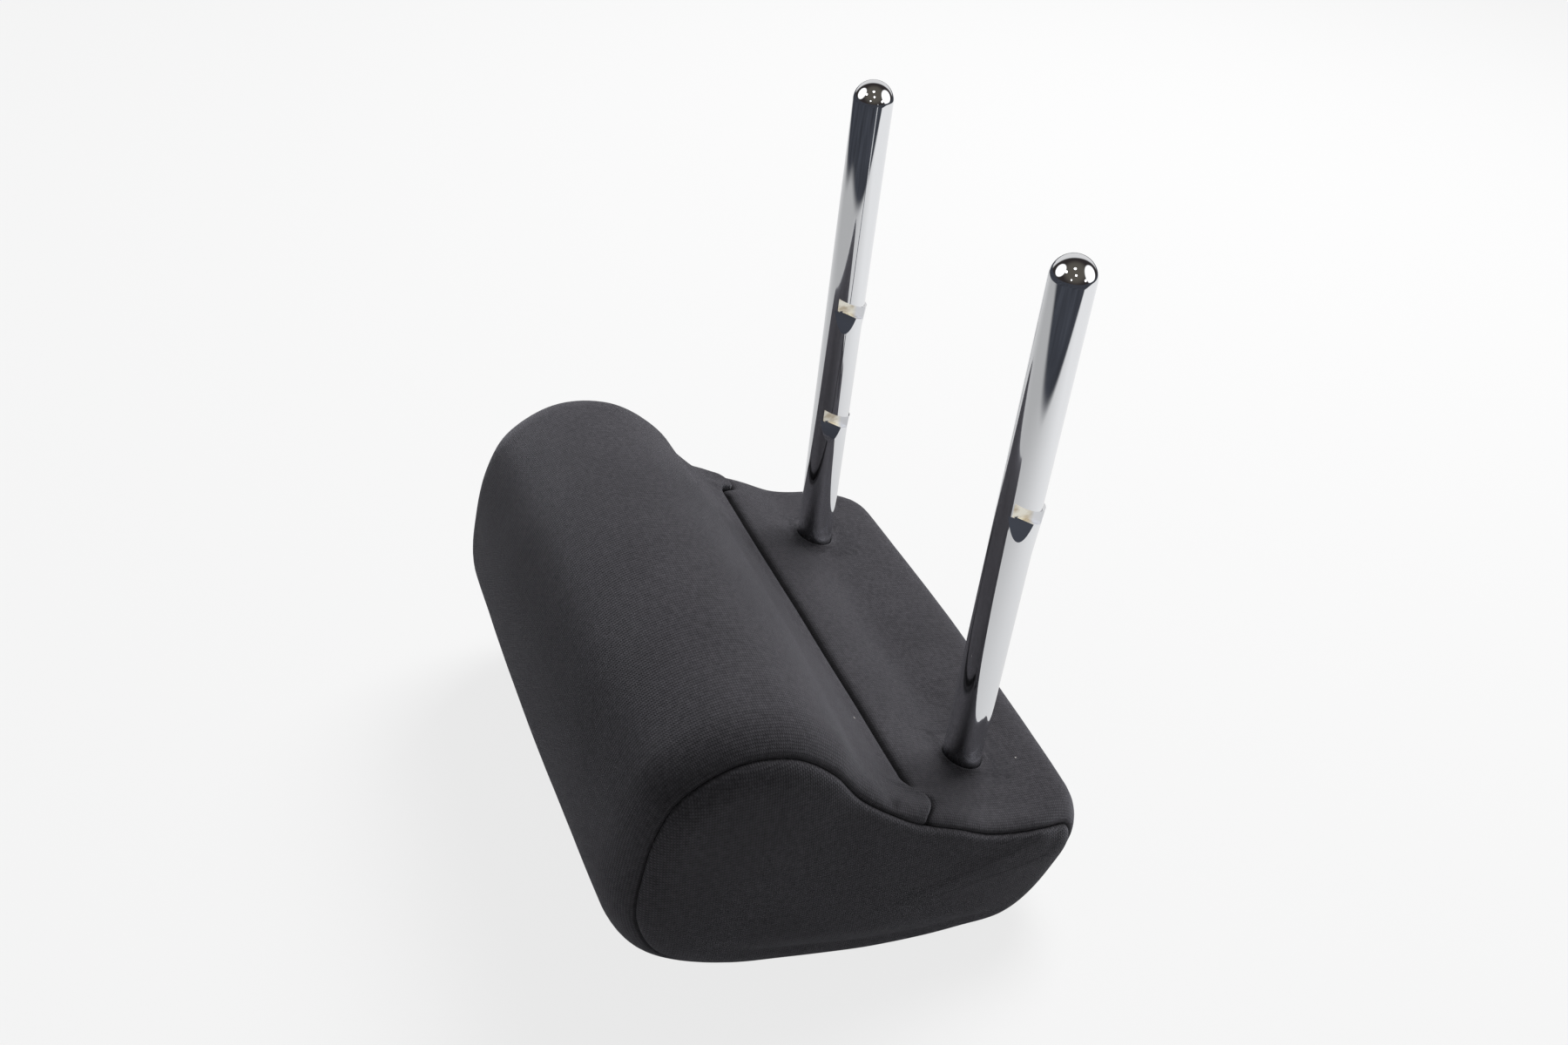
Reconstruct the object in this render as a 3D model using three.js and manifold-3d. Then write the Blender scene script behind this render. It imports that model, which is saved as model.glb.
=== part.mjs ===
// A low rear-seat headrest, lying upside down on its crown with its two posts pointing up.
// The origin is on the flat of the crown, midway between the posts. X runs across the seat,
// the face for the head looks to -Y, and Z follows the posts. Units are millimetres.
import * as THREE from 'three';
import { mergeVertices } from 'three/addons/utils/BufferGeometryUtils.js';
import Module from 'manifold-3d';

const wasm = await Module();
wasm.setup();

// Driving dimensions of the steel frame
const postDiameter = 14;
const postSpacing = 131.8;
const postLength = 194;
const bridgeBendRadius = 20;
const wireDiameter = 6;
const wireSpan = 88;
const wireBendRadius = 15;
const wireTail = 12;
const wireRampSetback = 18;
const wireCornerDrop = 8;
const foamUnderWire = 6.8;
const foamBeforeWire = 31;
const foamOverWire = 33;
const plateThickness = 1.5;
const plateHeight = 34;
const plateSill = 12;
const plateMargin = 5;
const plateHoleDiameter = 16;
const plateHoleSpacing = 44;

// Driving dimensions of the height notches in the posts, measured from where the posts leave the pad
const upperNotchHeight = 112;
const lowerNotchHeight = 64;
const notchDepth = 2.4;
const notchBand = 4.6;
const notchRamp = 8;
const notchTilt = 22;

// Driving dimensions of the pad, in the section across the posts
const padWidth = 207;
const crownDepth = 53;
const backReach = 37;
const backDrop = 15;
const frontReach = 138;
const frontDrop = 4;
const rollHeight = 71;
const rollSetback = 104;
const rollThickness = 62;
const creaseSetback = 37;
const creaseHeight = 19;
const creaseHalfLength = 88;
const crownFlattening = 1.2;
const baseSwell = 1.5;
const baseFall = 2;
const backCornerRound = 5;
const backTuck = 8;
const backFoot = 24;
const chinRise = 16.5;
const chinSetback = 29;
const frontLean = 6.5;
const rollFront = 15;
const rollSlopeRun = 6;
const chestReach = 32;
const crownLift = 1;

// Shares of those dimensions at which the rounded stretches of the section pass
const heelShare = 0.3;
const footShare = 0.02;
const baseFallShare = 1 / 3;
const chinFlatShare = 0.45;
const chinTurnSetback = 0.3;
const chinTurnHeight = 0.42;
const frontLowLean = 0.2;
const frontLowShare = 0.3;
const frontHighShare = 0.6;
const rollFrontShare = 0.83;
const rollBackReach = 0.37;
const rollBackShare = 0.97;
const rollSlopeReach = 0.66;
const rollSlopeShare = 0.72;
const slopeMiddleShare = 1.75;
const slopeFootShare = 0.42;

// Driving dimensions of how the pad rounds off towards its two ends
const baseEdgeRadius = 7.5;
const crownEdgeRadius = 18;
const frontEdgeRadius = 24;
const rollEdgeRadius = 21;
const baseTurnStart = 2;
const baseTurnEnd = 26;
const backTurnStart = 20;
const backTurnEnd = 2;
const frontTurnStart = 25;
const frontTurnEnd = 5;
const rollTurnRun = 30;
const endCrown = 3;
const endCentreSetback = 61;
const endCentreDrop = 20;
const backBow = 4;
const backBowStart = 14;
const backBowEnd = 6;
const rollBow = 6;
const rollBowStart = 14;

// Driving dimensions of the cloth cover and its closure
const coverThickness = 2.6;
const seamAngle = 50;
const slitWidth = 1.4;
const flapLength = 20;
const slotLean = 32;
const slotSetback = 34.5;
const slotHeight = 17;
const stripThickness = 1.6;
const stripOverlap = 8;
const hookReach = 5.7;
const sealThickness = 3;
const sealRim = 5;
const sealDepth = 3;

// Clearances between pieces that touch, and how finely round stretches are cut
const gap = 0.3;
const holeClearance = 0.5;
const mergeDistance = 1e-4;
const postSegments = 24;
const wireSegments = 12;
const bendSteps = 5;
const sectionSteps = 46;
const roundingSteps = 5;
const middleSteps = 5;
const crownSteps = 2;
const headingReach = 3;

const degree = Math.PI / 180;
const postRadius = postDiameter / 2;
const wireRadius = wireDiameter / 2;
const baseZ = crownDepth;
const postTipZ = baseZ + postLength;
const foamInset = coverThickness + gap;
const wireLowZ = foamInset + foamUnderWire + wireRadius;
const bridgeZ = wireLowZ + wireRadius + gap + postRadius;

const chrome = () => new THREE.MeshStandardMaterial({ color: 0xd4d6d8, roughness: 0.08, metalness: 1 });
const bareSteel = () => new THREE.MeshStandardMaterial({ color: 0x74767a, roughness: 0.45, metalness: 1 });
const cloth = () => new THREE.MeshStandardMaterial({ color: 0x3c3a3e, roughness: 0.95, metalness: 0 });
const foam = () => new THREE.MeshStandardMaterial({ color: 0xcfc7a4, roughness: 1, metalness: 0 });
const blackPlastic = () => new THREE.MeshStandardMaterial({ color: 0x17171a, roughness: 0.5, metalness: 0 });

// A three.js geometry as a solid that can be joined and cut
function solidOf(geometry) {
  const bare = geometry.index ? geometry.toNonIndexed() : geometry.clone();
  bare.deleteAttribute('normal');
  bare.deleteAttribute('uv');
  const merged = mergeVertices(bare, mergeDistance);
  return new wasm.Manifold(new wasm.Mesh({
    numProp: 3,
    vertProperties: new Float32Array(merged.attributes.position.array),
    triVerts: new Uint32Array(merged.index.array),
  }));
}

// A joined or cut solid as a named mesh of the model
function meshOf(name, solid, material) {
  const { vertProperties, triVerts } = solid.getMesh();
  const geometry = new THREE.BufferGeometry();
  geometry.setAttribute('position', new THREE.BufferAttribute(vertProperties, 3));
  geometry.setIndex(new THREE.BufferAttribute(triVerts, 1));
  geometry.computeVertexNormals();
  const mesh = new THREE.Mesh(geometry, material);
  mesh.name = name;
  return mesh;
}

// A route of straight runs joined by round bends, with a station at each end of every bend step
class BentRoute extends THREE.Curve {
  constructor(corners, radius) {
    super();
    this.stations = [corners[0]];
    this.headings = [corners[1].clone().sub(corners[0]).normalize()];
    for (let i = 1; i < corners.length - 1; i += 1) {
      this.addBend(corners[i - 1], corners[i], corners[i + 1], radius);
    }
    this.stations.push(corners.at(-1));
    this.headings.push(this.headings.at(-1).clone());
    this.steps = this.stations.length - 1;
  }

  addBend(before, corner, after, radius) {
    const into = corner.clone().sub(before).normalize();
    const out = after.clone().sub(corner).normalize();
    const turn = into.angleTo(out);
    const start = corner.clone().addScaledVector(into, -radius * Math.tan(turn / 2));
    const inward = out.clone().addScaledVector(into, -out.dot(into)).normalize();
    for (let step = 0; step <= bendSteps; step += 1) {
      const angle = (turn * step) / bendSteps;
      const point = start.clone()
        .addScaledVector(into, radius * Math.sin(angle))
        .addScaledVector(inward, radius * (1 - Math.cos(angle)));
      const heading = into.clone().multiplyScalar(Math.cos(angle)).addScaledVector(inward, Math.sin(angle));
      this.stations.push(point);
      this.headings.push(heading);
    }
  }

  getPoint(t) {
    const place = t * this.steps;
    const index = Math.min(Math.floor(place), this.steps - 1);
    return this.stations[index].clone().lerp(this.stations[index + 1], place - index);
  }

  getTangent(t) {
    return this.headings[Math.round(t * this.steps)].clone();
  }

  getUtoTmapping(u) {
    return u;
  }
}

// A round bar of the given radius along a route
function barAlong(route, radius, segments) {
  const corners = [];
  for (let i = 0; i < segments; i += 1) {
    const angle = (2 * Math.PI * i) / segments;
    corners.push(new THREE.Vector2(radius * Math.cos(angle), radius * Math.sin(angle)));
  }
  const section = new THREE.Shape(corners);
  return solidOf(new THREE.ExtrudeGeometry(section, { steps: route.steps, extrudePath: route }));
}

// An upright round solid between two heights
function uprightRound(radius, x, y, bottom, top) {
  const geometry = new THREE.CylinderGeometry(radius, radius, top - bottom, postSegments);
  geometry.rotateX(Math.PI / 2);
  geometry.translate(x, y, (bottom + top) / 2);
  return solidOf(geometry);
}

// A box between two corners
function boxBetween(low, high) {
  const size = new THREE.Vector3().subVectors(high, low);
  const centre = new THREE.Vector3().addVectors(low, high).multiplyScalar(0.5);
  const geometry = new THREE.BoxGeometry(size.x, size.y, size.z);
  geometry.translate(centre.x, centre.y, centre.z);
  return solidOf(geometry);
}

// The pad's outline in the section across the posts, from the base over the back, the crown,
// the chin, the front and the roll to the crease
function padOutline() {
  const corners = [
    [-postRadius, baseZ + baseSwell],
    [backReach - 4 * backCornerRound, baseZ - baseFall * baseFallShare],
    [backReach - backCornerRound, baseZ - baseFall],
    [backReach, baseZ - backDrop],
    [backReach - backTuck, baseZ * heelShare],
    [backReach - backFoot, baseZ * footShare],
    [-postRadius - backCornerRound, -crownFlattening],
    [-creaseSetback - rollSlopeRun, crownLift],
    [-creaseSetback - rollSlopeRun - chestReach, chinRise * chinFlatShare],
    [-frontReach + chinSetback, chinRise],
    [-frontReach + chinSetback * chinTurnSetback, (chinRise + baseZ) * chinTurnHeight],
    [-frontReach, baseZ - frontDrop],
    [-frontReach + frontLean * frontLowLean, baseZ + rollHeight * frontLowShare],
    [-frontReach + frontLean, baseZ + rollHeight * frontHighShare],
    [-frontReach + rollFront, baseZ + rollHeight * rollFrontShare],
    [-rollSetback, baseZ + rollHeight],
    [-rollSetback + rollThickness * rollBackReach, baseZ + rollHeight * rollBackShare],
    [-rollSetback + rollThickness * rollSlopeReach, baseZ + rollHeight * rollSlopeShare],
    [-creaseSetback - rollFront, baseZ + creaseHeight * slopeMiddleShare],
    [-creaseSetback, baseZ + creaseHeight],
    [-creaseSetback / 2, baseZ + creaseHeight * slopeFootShare],
  ];
  const points = corners.map(([y, z]) => new THREE.Vector3(0, y, z));
  return new THREE.CatmullRomCurve3(points, true, 'centripetal');
}

// How far the ends round off, going from the base round the crown and the front to the roll
function edgeRadiusAt(point) {
  const smooth = THREE.MathUtils.smoothstep;
  const below = smooth(baseZ - point.z, baseTurnStart, baseTurnEnd);
  const behind = smooth(point.y, backReach - backTurnStart, backReach - backTurnEnd);
  const turned = Math.max(below, behind);
  const low = THREE.MathUtils.lerp(baseEdgeRadius, crownEdgeRadius, turned);
  const ahead = smooth(-point.y, frontReach - frontTurnStart, frontReach - frontTurnEnd);
  const front = THREE.MathUtils.lerp(low, frontEdgeRadius, ahead);
  const rise = smooth(point.z, baseZ + creaseHeight, baseZ + creaseHeight + rollTurnRun);
  return THREE.MathUtils.lerp(front, rollEdgeRadius, rise);
}

// The stations of the outline, each with its outward direction and the radius of its end rounding.
// The directions are evened out over a few neighbours, so that the rounding doesn't pinch at a corner.
const outline = padOutline();

function stationAt(i) {
  const point = outline.getPointAt(i / sectionSteps);
  const outward = new THREE.Vector3();
  for (let offset = -headingReach; offset <= headingReach; offset += 1) {
    const place = (i + offset + sectionSteps) % sectionSteps;
    const heading = outline.getTangentAt(place / sectionSteps);
    const weight = headingReach + 1 - Math.abs(offset);
    outward.add(new THREE.Vector3(0, -heading.z, heading.y).multiplyScalar(weight));
  }
  outward.normalize();
  return { point, outward, radius: edgeRadiusAt(point) };
}

const stations = Array.from({ length: sectionSteps }, (unused, i) => stationAt(i));

// One point of the pad's surface. Turn is 0 where the end rounding starts and 90 degrees at the end,
// spread carries the points of a middle ring from one side (1) to the other (-1).
function surfacePoint(station, turn, spread, inset) {
  const radius = station.radius - inset;
  const x = (padWidth / 2 - inset - radius * (1 - Math.sin(turn))) * spread;
  const drop = inset + radius * (1 - Math.cos(turn));
  const point = station.point.clone().addScaledVector(station.outward, -drop);
  const away = (2 * x / padWidth) ** 2;
  const back = THREE.MathUtils.smoothstep(station.point.y, -backBowStart, backReach - backBowEnd);
  const rise = (station.point.z - baseZ - rollBowStart) / (rollHeight - rollBowStart);
  const roll = THREE.MathUtils.clamp(rise, 0, 1);
  point.x = x;
  point.y -= backBow * away * back;
  point.z -= rollBow * away * roll;
  point.z = Math.max(point.z, inset);
  return point;
}

// A closed ring of the pad's surface
function ring(turnOf, spread, inset) {
  return stations.map((station) => surfacePoint(station, turnOf(station), spread, inset));
}

// The rings from one turn to another on one side, both ends included
function roundingRings(fromTurn, toTurn, side, inset) {
  const rings = [];
  const sweep = Math.abs(toTurn(stations[0]) - fromTurn(stations[0]));
  const steps = Math.max(2, Math.round(roundingSteps * sweep / endOfRounding()));
  for (let step = 0; step <= steps; step += 1) {
    const share = step / steps;
    const turnOf = (station) => THREE.MathUtils.lerp(fromTurn(station), toTurn(station), share);
    rings.push(ring(turnOf, side, inset));
  }
  return rings;
}

// The rings that close an end, drawn together to a point and crowned a little
function crownRings(rim, side) {
  const centre = new THREE.Vector3(rim[0].x, -endCentreSetback, baseZ - endCentreDrop);
  const rings = [];
  for (let step = 1; step <= crownSteps; step += 1) {
    const share = 1 - step / (crownSteps + 1);
    const swell = side * endCrown * (1 - share * share);
    rings.push(rim.map((point) => {
      const moved = centre.clone().lerp(point, share);
      moved.x += swell;
      return moved;
    }));
  }
  const tip = centre.clone();
  tip.x += side * endCrown;
  return { rings, tip };
}

// A closed surface through rings of equally many points, closed by a tip at each end or back on itself
function loft(rings, firstTip, lastTip) {
  const positions = [];
  const index = [];
  const count = rings[0].length;
  rings.flat().forEach((point) => positions.push(point.x, point.y, point.z));
  const closed = !firstTip && !lastTip;
  const joins = closed ? rings.length : rings.length - 1;
  for (let r = 0; r < joins; r += 1) {
    const here = r * count;
    const there = ((r + 1) % rings.length) * count;
    for (let i = 0; i < count; i += 1) {
      const next = (i + 1) % count;
      index.push(here + i, here + next, there + i);
      index.push(here + next, there + next, there + i);
    }
  }
  const addTip = (tip, start, flip) => {
    if (!tip) {
      return;
    }
    const tipIndex = positions.length / 3;
    positions.push(tip.x, tip.y, tip.z);
    for (let i = 0; i < count; i += 1) {
      const next = (i + 1) % count;
      index.push(tipIndex, start + (flip ? next : i), start + (flip ? i : next));
    }
  };
  addTip(firstTip, 0, true);
  addTip(lastTip, (rings.length - 1) * count, false);
  const geometry = new THREE.BufferGeometry();
  geometry.setAttribute('position', new THREE.BufferAttribute(new Float32Array(positions), 3));
  geometry.setIndex(index);
  return solidOf(geometry);
}

const startOfRounding = () => 0;
const endOfRounding = () => Math.PI / 2;
const seamTurn = (away) => (station) => seamAngle * degree + away / station.radius;

// The rings between the two seams of the wrapped panel, at a given inset from the outside
function wrapRings(turnOf, inset) {
  const near = roundingRings(turnOf, startOfRounding, 1, inset);
  const far = roundingRings(startOfRounding, turnOf, -1, inset);
  const middle = [];
  for (let step = 1; step < middleSteps; step += 1) {
    middle.push(ring(startOfRounding, 1 - (2 * step) / middleSteps, inset));
  }
  return [...near, ...middle, ...far];
}

// The whole pad as one solid, at a given inset from the outside of the cover
function padSolid(inset) {
  const rings = [
    ...roundingRings(endOfRounding, seamTurn(0), 1, inset).slice(0, -1),
    ...wrapRings(seamTurn(0), inset),
    ...roundingRings(seamTurn(0), endOfRounding, -1, inset).slice(1),
  ];
  const near = crownRings(rings[0], 1);
  const far = crownRings(rings.at(-1), -1);
  return loft([...near.rings.toReversed(), ...rings, ...far.rings], near.tip, far.tip);
}

const padOutside = padSolid(0);

// A box in the closing slot at the foot of the roll, which leans forward as it goes into the pad:
// across the slot (u), down into the pad (v) and half its length along X
function slotBox(fromU, toU, fromV, toV, halfLength) {
  const geometry = new THREE.BoxGeometry(2 * halfLength, toU - fromU, toV - fromV);
  geometry.translate(0, (fromU + toU) / 2, -(fromV + toV) / 2);
  geometry.rotateX(-slotLean * degree);
  geometry.translate(0, -slotSetback, baseZ + slotHeight);
  return solidOf(geometry);
}

const flapInner = slitWidth / 2;
const flapOuter = flapInner + coverThickness;
const stripInner = flapOuter + gap;
const stripOuter = stripInner + stripThickness;
const aboveCover = rollHeight / 4;
const stripTop = flapLength - stripOverlap;
const upperFoot = flapLength + gap;
const hookGap = stripThickness + gap;
const lowerFoot = upperFoot + hookReach;
const stripHalfLength = creaseHalfLength - 5;

// The posts and the bridge between them: one bar bent to a U and notched, with domed ends
function makePostBar(swell) {
  const halfSpacing = postSpacing / 2;
  const tip = postTipZ - postRadius;
  const route = new BentRoute([
    new THREE.Vector3(-halfSpacing, 0, tip),
    new THREE.Vector3(-halfSpacing, 0, bridgeZ),
    new THREE.Vector3(halfSpacing, 0, bridgeZ),
    new THREE.Vector3(halfSpacing, 0, tip),
  ], bridgeBendRadius);
  let bar = barAlong(route, postRadius + swell, postSegments);
  for (const x of [-halfSpacing, halfSpacing]) {
    const dome = new THREE.SphereGeometry(postRadius + swell, postSegments, postSegments / 2);
    dome.rotateX(Math.PI / 2);
    dome.translate(x, 0, tip);
    bar = bar.add(solidOf(dome));
  }
  return bar;
}

// One notch: a band cut flat into the side of the post, and a ramp that runs out towards the pad
function notchCutter(postX, height) {
  const reach = postRadius / 2;
  const ramp = notchRamp * (1 + reach / notchDepth);
  const shape = new THREE.Shape();
  shape.moveTo(0, 0);
  shape.lineTo(notchDepth + reach, 0);
  shape.lineTo(notchDepth + reach, -notchBand - ramp);
  shape.lineTo(0, -notchBand);
  shape.closePath();
  const width = 2 * postDiameter;
  const geometry = new THREE.ExtrudeGeometry(shape, { depth: width, bevelEnabled: false });
  geometry.translate(0, 0, -width / 2);
  geometry.rotateX(Math.PI / 2);
  geometry.rotateX(-notchTilt * degree);
  geometry.translate(postX + postRadius - notchDepth, 0, baseZ + height);
  return solidOf(geometry);
}

// The bent wire that carries the front of the pad, welded under the bridge
const wireY = -frontReach + foamBeforeWire;
const wireCornerZ = baseZ - wireCornerDrop;
const wireTopZ = baseZ + rollHeight - foamOverWire;

function makeRollWire(swell) {
  const x = wireSpan / 2;
  const run = (side) => [
    new THREE.Vector3(side * x, wireTail, wireLowZ),
    new THREE.Vector3(side * x, -creaseSetback - wireRampSetback, wireLowZ),
    new THREE.Vector3(side * x, wireY, wireCornerZ),
    new THREE.Vector3(side * x, wireY, wireTopZ),
  ];
  const route = new BentRoute([...run(-1), ...run(1).toReversed()], wireBendRadius);
  return barAlong(route, wireRadius + swell, wireSegments);
}

// The pressed plate welded behind the uprights of the wire, with two holes that the foam runs through
function makeSupportPlate(swell) {
  const halfWidth = wireSpan / 2 + plateMargin;
  const front = wireY + wireRadius + gap;
  const low = wireCornerZ + plateSill;
  const plate = boxBetween(
    new THREE.Vector3(-halfWidth - swell, front - swell, low - swell),
    new THREE.Vector3(halfWidth + swell, front + plateThickness + swell, low + plateHeight + swell),
  );
  if (swell > 0) {
    return plate;
  }
  let pierced = plate;
  for (const side of [-1, 1]) {
    const holeRadius = plateHoleDiameter / 2;
    const hole = new THREE.CylinderGeometry(holeRadius, holeRadius, 4 * plateThickness, postSegments);
    hole.translate(side * plateHoleSpacing / 2, front + plateThickness / 2, low + plateHeight / 2);
    pierced = pierced.subtract(solidOf(hole));
  }
  return pierced;
}

// The rings that seal the foam round the posts, just under the cover
const sealTop = baseZ - foamInset - sealDepth;

function makePostSeal(side) {
  const x = side * postSpacing / 2;
  const disc = uprightRound(postRadius + sealRim, x, 0, sealTop - sealThickness, sealTop);
  const bore = uprightRound(postRadius + gap, x, 0, sealTop - 2 * sealThickness, sealTop + sealThickness);
  return disc.subtract(bore);
}

// The foam block, with the room for the frame, the seals and the closing slot
function makeFoamPad() {
  let block = padSolid(foamInset)
    .subtract(makePostBar(gap))
    .subtract(makeRollWire(gap))
    .subtract(makeSupportPlate(gap))
    .subtract(slotBox(-stripOuter - gap, stripOuter + gap, -aboveCover,
      lowerFoot + stripThickness + gap, creaseHalfLength + gap));
  for (const side of [-1, 1]) {
    const x = side * postSpacing / 2;
    const room = postRadius + sealRim + gap;
    block = block.subtract(uprightRound(room, x, 0, sealTop - sealThickness - gap, baseZ + aboveCover));
  }
  return block;
}

// The panel that wraps the pad from the slot over the base, back, crown, front and roll to the slot again
function makeWrapPanel() {
  const outside = wrapRings(seamTurn(-gap / 2), 0);
  const inside = wrapRings(seamTurn(-gap / 2), coverThickness);
  const shell = loft([...outside, ...inside.toReversed()]);
  const flaps = slotBox(-flapOuter, flapOuter, -aboveCover, flapLength, creaseHalfLength);
  const slit = slotBox(-flapInner, flapInner, -aboveCover, flapLength + gap, creaseHalfLength + gap);
  let panel = shell.add(flaps.intersect(padOutside)).subtract(slit);
  for (const side of [-1, 1]) {
    const hole = postRadius + holeClearance;
    panel = panel.subtract(uprightRound(hole, side * postSpacing / 2, 0, sealTop, baseZ + aboveCover));
  }
  return panel;
}

// An end panel, from its seam to the middle of the end
function makeEndPanel(side) {
  const surface = (inset) => {
    const rings = roundingRings(seamTurn(gap / 2), endOfRounding, side, inset);
    const { rings: crown, tip } = crownRings(rings.at(-1), side);
    return { rings: [...rings, ...crown], tip };
  };
  const outside = surface(0);
  const inside = surface(coverThickness);
  const [first, last] = side > 0 ? [outside, inside] : [inside, outside];
  return loft([...first.rings.toReversed(), ...last.rings], first.tip, last.tip);
}

// The two plastic hook strips sewn to the ends of the wrapped panel, hooked into each other in the slot
function makeHookStripRoll() {
  const leg = slotBox(-stripOuter, -stripInner, stripTop, lowerFoot + stripThickness, stripHalfLength);
  const foot = slotBox(-stripOuter, hookGap, lowerFoot, lowerFoot + stripThickness, stripHalfLength);
  const lip = slotBox(gap, hookGap, upperFoot + hookGap, lowerFoot + stripThickness, stripHalfLength);
  return leg.add(foot).add(lip);
}

function makeHookStripBase() {
  const leg = slotBox(stripInner, stripOuter, stripTop, upperFoot + stripThickness, stripHalfLength);
  const foot = slotBox(-stripThickness, stripOuter, upperFoot, upperFoot + stripThickness, stripHalfLength);
  const lip = slotBox(-stripThickness, 0, upperFoot, lowerFoot - gap, stripHalfLength);
  return leg.add(foot).add(lip);
}

let postBar = makePostBar(0);
const notches = [
  [-postSpacing / 2, upperNotchHeight],
  [-postSpacing / 2, lowerNotchHeight],
  [postSpacing / 2, upperNotchHeight],
];
for (const [postX, height] of notches) {
  postBar = postBar.subtract(notchCutter(postX, height));
}

const headrest = new THREE.Group();
headrest.name = 'headrest';
headrest.add(meshOf('post_bar', postBar, chrome()));
headrest.add(meshOf('roll_wire', makeRollWire(0), bareSteel()));
headrest.add(meshOf('support_plate', makeSupportPlate(0), bareSteel()));
headrest.add(meshOf('foam_pad', makeFoamPad(), foam()));
headrest.add(meshOf('cover_wrap_panel', makeWrapPanel(), cloth()));
headrest.add(meshOf('cover_end_panel_left', makeEndPanel(-1), cloth()));
headrest.add(meshOf('cover_end_panel_right', makeEndPanel(1), cloth()));
headrest.add(meshOf('hook_strip_roll', makeHookStripRoll(), blackPlastic()));
headrest.add(meshOf('hook_strip_base', makeHookStripBase(), blackPlastic()));
headrest.add(meshOf('post_seal_left', makePostSeal(-1), blackPlastic()));
headrest.add(meshOf('post_seal_right', makePostSeal(1), blackPlastic()));

export default headrest;
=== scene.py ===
import math

import bmesh
import bpy
from mathutils import Matrix, Vector, kdtree, noise


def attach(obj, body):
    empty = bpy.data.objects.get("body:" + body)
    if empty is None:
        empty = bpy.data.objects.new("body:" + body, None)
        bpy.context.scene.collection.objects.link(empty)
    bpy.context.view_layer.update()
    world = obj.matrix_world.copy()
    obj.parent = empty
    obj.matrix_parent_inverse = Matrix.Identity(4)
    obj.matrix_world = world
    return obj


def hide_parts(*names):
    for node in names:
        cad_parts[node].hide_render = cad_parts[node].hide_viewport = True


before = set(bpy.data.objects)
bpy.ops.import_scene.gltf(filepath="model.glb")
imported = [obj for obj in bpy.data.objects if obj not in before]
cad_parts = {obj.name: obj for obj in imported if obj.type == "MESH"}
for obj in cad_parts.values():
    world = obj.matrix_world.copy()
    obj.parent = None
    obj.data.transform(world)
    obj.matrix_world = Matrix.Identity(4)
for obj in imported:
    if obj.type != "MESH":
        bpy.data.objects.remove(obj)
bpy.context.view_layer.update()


# The pad's form. The cover is drawn over a moulded foam block whose section across the posts is a
# comma: a flat base for the posts, a rounded back, the crown it lies on, the face for the head and
# the roll that hangs over the front. Lengths here are in metres; Y runs front to back, Z is up.
pad_width = 0.207
base_z = 0.053
lowest_upper_z = base_z - 0.006
section_knots = [
    (-0.007, 0.0568), (0.005, 0.0538), (0.018, 0.0522), (0.0342, 0.0501), (0.0391, 0.038),
    (0.0302, 0.0159), (0.013, 0.0011), (-0.012, -0.0012), (-0.043, 0.001), (-0.075, 0.0074),
    (-0.109, 0.0165), (-0.1295, 0.0292), (-0.1387, 0.0505), (-0.1375, 0.0743), (-0.1325, 0.0957),
    (-0.1243, 0.1118), (-0.104, 0.1229), (-0.0811, 0.1206), (-0.0631, 0.1058), (-0.052, 0.0870),
    (-0.037, 0.0722), (-0.0185, 0.0628),
]
knot_steps = 60
slot_y = -0.0345
base_round = 0.0075
back_round = 0.019
crown_round = 0.0166
front_round = 0.0195
roll_round = 0.0175
back_bow = 0.0036
front_bow = 0.0018
roll_sag = 0.006


def smooth_step(value, low, high):
    share = min(max((value - low) / (high - low), 0.0), 1.0)
    return share * share * (3 - 2 * share)


def blend_between(low, high, share):
    return low + (high - low) * share


def section_curve():
    """The outline as a smooth closed curve through its knots: points and the distance to each."""
    points = []
    count = len(section_knots)
    for i in range(count):
        p0, p1, p2, p3 = (Vector(section_knots[(i + k) % count]) for k in (-1, 0, 1, 2))
        d0, d1, d2 = (math.sqrt((b - a).length) for a, b in ((p0, p1), (p1, p2), (p2, p3)))
        t1 = ((p1 - p0) / d0 - (p2 - p0) / (d0 + d1) + (p2 - p1) / d1) * d1
        t2 = ((p2 - p1) / d1 - (p3 - p1) / (d1 + d2) + (p3 - p2) / d2) * d1
        for k in range(knot_steps):
            t = k / knot_steps
            h1, h2 = 2 * t**3 - 3 * t**2 + 1, t**3 - 2 * t**2 + t
            h3, h4 = 3 * t**2 - 2 * t**3, t**3 - t**2
            points.append(p1 * h1 + t1 * h2 + p2 * h3 + t2 * h4)
    points.append(points[0].copy())
    distance = [0.0]
    for a, b in zip(points, points[1:]):
        distance.append(distance[-1] + (b - a).length)
    return points, distance


section_points, section_distance = section_curve()
section_length = section_distance[-1]


def section_place(y):
    """How far round the outline the base, the slot or the roll's underside reaches this Y."""
    best, place = 1.0, 0.0
    for point, distance in zip(section_points, section_distance):
        if point.y > lowest_upper_z and abs(point.x - y) < best:
            best, place = abs(point.x - y), distance
    return place


def section_at(place):
    """Point and heading of the outline at a distance round it."""
    place %= section_length
    low, high = 0, len(section_distance) - 1
    while high - low > 1:
        middle = (low + high) // 2
        if section_distance[middle] > place:
            high = middle
        else:
            low = middle
    a, b = section_points[low], section_points[high]
    share = (place - section_distance[low]) / (section_distance[high] - section_distance[low])
    return a.lerp(b, share), (b - a).normalized()


def outward_at(place, spread=0.042):
    """Outward direction of the outline, evened out over its neighbours."""
    total = Vector((0, 0))
    for k in range(-6, 7):
        heading = section_at(place + k * spread / 6)[1]
        total += Vector((-heading.y, heading.x)) * (7 - abs(k))
    return total.normalized()


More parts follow.
